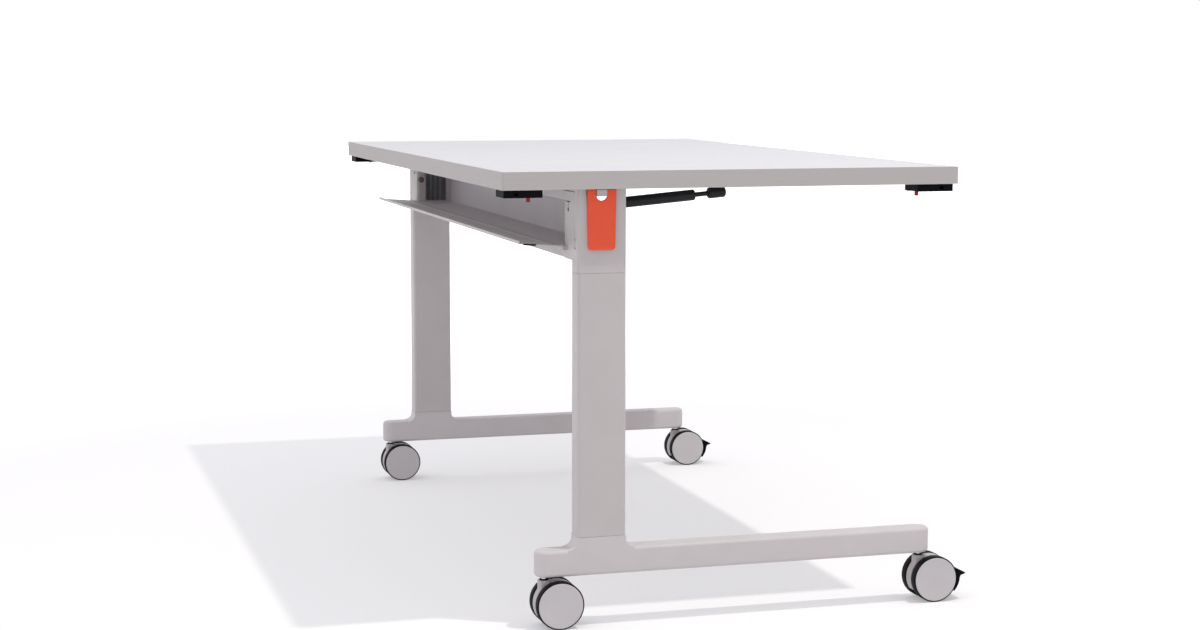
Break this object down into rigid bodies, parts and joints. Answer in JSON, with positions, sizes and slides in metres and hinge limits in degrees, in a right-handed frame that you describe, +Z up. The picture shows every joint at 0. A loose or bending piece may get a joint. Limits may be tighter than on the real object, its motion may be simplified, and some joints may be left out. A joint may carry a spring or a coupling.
{
  "type": "flip top training table",
  "caption": "Rectangular training table whose white board flips upright on a grey two-leg frame with casters, a cable trough and corner linking blocks.",
  "frame": {"origin": "floor under the middle of the table's overall footprint, brake levers included", "axes": "+X along the table's length, to the user's right; -Y towards the user; +Z up"},
  "size_m": [1.372, 0.799, 0.725],
  "materials": {
    "laminate": "white satin laminate on particle board",
    "edge_band": "light grey edge band",
    "grey_paint": "satin light grey powder coat",
    "steel": "plated steel",
    "black_metal": "black paint",
    "black_plastic": "moulded black plastic",
    "red_plastic": "moulded red plastic",
    "orange_plastic": "moulded orange plastic",
    "rubber": "soft black rubber",
    "tyre": "black caster tread",
    "grey_plastic": "moulded light grey plastic"
  },
  "bodies": {
    "base": {"crossbeam": "grey_paint", "cable_trough": "grey_paint", "upper_rail": "grey_paint", "door_hinge_rod": "steel", "gas_spring_stud": "steel", "leg_head_left": "grey_paint", "column_left": "grey_paint", "foot_left": "grey_paint", "hinge_pin_left": "steel", "paddle_pin_left": "steel", "latch_spring_left": "steel", "stop_pad_left": "rubber", "caster_stem_back_left": "steel", "caster_stem_front_left": "steel", "leg_head_right": "grey_paint", "column_right": "grey_paint", "foot_right": "grey_paint", "hinge_pin_right": "steel", "paddle_pin_right": "steel", "latch_spring_right": "steel", "stop_pad_right": "rubber", "caster_stem_back_right": "steel", "caster_stem_front_right": "steel"},
    "top": {"table_top": "laminate", "edge_band": "edge_band", "gas_spring_bracket": "black_metal", "hinge_arm_left": "grey_paint", "link_block_back_left": "black_plastic", "link_block_front_left": "black_plastic", "hinge_arm_right": "grey_paint", "link_block_back_right": "black_plastic", "link_block_front_right": "black_plastic"},
    "door": {"trough_door": "grey_paint"},
    "spring_rod": {"gas_spring_rod": "black_metal"},
    "spring_cylinder": {"gas_spring_cylinder": "black_metal"},
    "paddle_left": {"release_paddle_left": "orange_plastic"},
    "link_back_left": {"link_slider_back_left": "red_plastic"},
    "caster_back_left": {"caster_hood_back_left": "grey_plastic", "caster_axle_back_left": "steel"},
    "wheel_back_left_left": {"wheel_back_left_left": "tyre"},
    "wheel_back_left_right": {"wheel_back_left_right": "tyre"},
    "link_front_left": {"link_slider_front_left": "red_plastic"},
    "caster_front_left": {"caster_hood_front_left": "grey_plastic", "caster_axle_front_left": "steel"},
    "wheel_front_left_left": {"wheel_front_left_left": "tyre"},
    "wheel_front_left_right": {"wheel_front_left_right": "tyre"},
    "brake_front_left": {"brake_lever_front_left": "black_plastic"},
    "paddle_right": {"release_paddle_right": "orange_plastic"},
    "caster_back_right": {"caster_hood_back_right": "grey_plastic", "caster_axle_back_right": "steel"},
    "wheel_back_right_left": {"wheel_back_right_left": "tyre"},
    "wheel_back_right_right": {"wheel_back_right_right": "tyre"},
    "caster_front_right": {"caster_hood_front_right": "grey_plastic", "caster_axle_front_right": "steel"},
    "wheel_front_right_left": {"wheel_front_right_left": "tyre"},
    "wheel_front_right_right": {"wheel_front_right_right": "tyre"},
    "brake_front_right": {"brake_lever_front_right": "black_plastic"}
  },
  "joints": [
    {"name": "flip", "type": "hinge", "parent": "base", "child": "top", "pos_m": [0, 0.2625, 0.608], "axis": [-1, 0, 0], "range_deg": [0, 90], "deforming": ["latch_spring_left", "latch_spring_right"]},
    {"name": "trough_door_swing", "type": "hinge", "parent": "base", "child": "door", "pos_m": [0, 0.277, 0.6], "axis": [1, 0, 0], "range_deg": [0, 83]},
    {"name": "gas_spring_swing", "type": "hinge", "parent": "top", "child": "spring_rod", "pos_m": [-0.606, 0.0191, 0.685], "axis": [-1, 0, 0], "range_deg": [-1, 33]},
    {"name": "gas_spring_extend", "type": "slide", "parent": "spring_rod", "child": "spring_cylinder", "axis": [0, 0.9962, -0.0867], "range_m": [-0.002, 0.041]},
    {"name": "release_paddle_left_pull", "type": "hinge", "parent": "base", "child": "paddle_left", "pos_m": [-0.6639, 0.2345, 0.6915], "axis": [0, 1, 0], "range_deg": [0, 25], "stiffness_Nm_per_rad": 0.15, "deforming": ["latch_spring_left"]},
    {"name": "link_back_left_slide", "type": "slide", "parent": "top", "child": "link_back_left", "axis": [-1, 0, 0], "range_m": [0, 0.03]},
    {"name": "caster_back_left_swivel", "type": "hinge", "parent": "base", "child": "caster_back_left", "pos_m": [-0.642, 0.3225, 0.07], "axis": [0, 0, 1], "continuous": true},
    {"name": "wheel_back_left_left_roll", "type": "hinge", "parent": "caster_back_left", "child": "wheel_back_left_left", "pos_m": [-0.642, 0.3015, 0.0385], "axis": [1, 0, 0], "continuous": true},
    {"name": "wheel_back_left_right_roll", "type": "hinge", "parent": "caster_back_left", "child": "wheel_back_left_right", "pos_m": [-0.642, 0.3015, 0.0385], "axis": [1, 0, 0], "continuous": true},
    {"name": "link_front_left_slide", "type": "slide", "parent": "top", "child": "link_front_left", "axis": [-1, 0, 0], "range_m": [0, 0.03]},
    {"name": "caster_front_left_swivel", "type": "hinge", "parent": "base", "child": "caster_front_left", "pos_m": [-0.642, -0.3235, 0.07], "axis": [0, 0, 1], "continuous": true},
    {"name": "wheel_front_left_left_roll", "type": "hinge", "parent": "caster_front_left", "child": "wheel_front_left_left", "pos_m": [-0.642, -0.3445, 0.0385], "axis": [1, 0, 0], "continuous": true},
    {"name": "wheel_front_left_right_roll", "type": "hinge", "parent": "caster_front_left", "child": "wheel_front_left_right", "pos_m": [-0.642, -0.3445, 0.0385], "axis": [1, 0, 0], "continuous": true},
    {"name": "brake_front_left_press", "type": "hinge", "parent": "caster_front_left", "child": "brake_front_left", "pos_m": [-0.642, -0.366, 0.0555], "axis": [1, 0, 0], "range_deg": [0, 4]},
    {"name": "release_paddle_right_pull", "type": "hinge", "parent": "base", "child": "paddle_right", "pos_m": [0.6639, 0.2345, 0.6915], "axis": [0, -1, 0], "range_deg": [0, 25], "stiffness_Nm_per_rad": 0.15, "deforming": ["latch_spring_right"]},
    {"name": "caster_back_right_swivel", "type": "hinge", "parent": "base", "child": "caster_back_right", "pos_m": [0.642, 0.3225, 0.07], "axis": [0, 0, 1], "continuous": true},
    {"name": "wheel_back_right_left_roll", "type": "hinge", "parent": "caster_back_right", "child": "wheel_back_right_left", "pos_m": [0.642, 0.3015, 0.0385], "axis": [1, 0, 0], "continuous": true},
    {"name": "wheel_back_right_right_roll", "type": "hinge", "parent": "caster_back_right", "child": "wheel_back_right_right", "pos_m": [0.642, 0.3015, 0.0385], "axis": [1, 0, 0], "continuous": true},
    {"name": "caster_front_right_swivel", "type": "hinge", "parent": "base", "child": "caster_front_right", "pos_m": [0.642, -0.3235, 0.07], "axis": [0, 0, 1], "continuous": true},
    {"name": "wheel_front_right_left_roll", "type": "hinge", "parent": "caster_front_right", "child": "wheel_front_right_left", "pos_m": [0.642, -0.3445, 0.0385], "axis": [1, 0, 0], "continuous": true},
    {"name": "wheel_front_right_right_roll", "type": "hinge", "parent": "caster_front_right", "child": "wheel_front_right_right", "pos_m": [0.642, -0.3445, 0.0385], "axis": [1, 0, 0], "continuous": true},
    {"name": "brake_front_right_press", "type": "hinge", "parent": "caster_front_right", "child": "brake_front_right", "pos_m": [0.642, -0.366, 0.0555], "axis": [1, 0, 0], "range_deg": [0, 4]}
  ],
  "couplings": [
    {"joint": "gas_spring_swing", "follows": "flip", "ratio": 0.34536},
    {"joint": "gas_spring_extend", "follows": "flip", "m_per_rad": 0.024112}
  ]
}
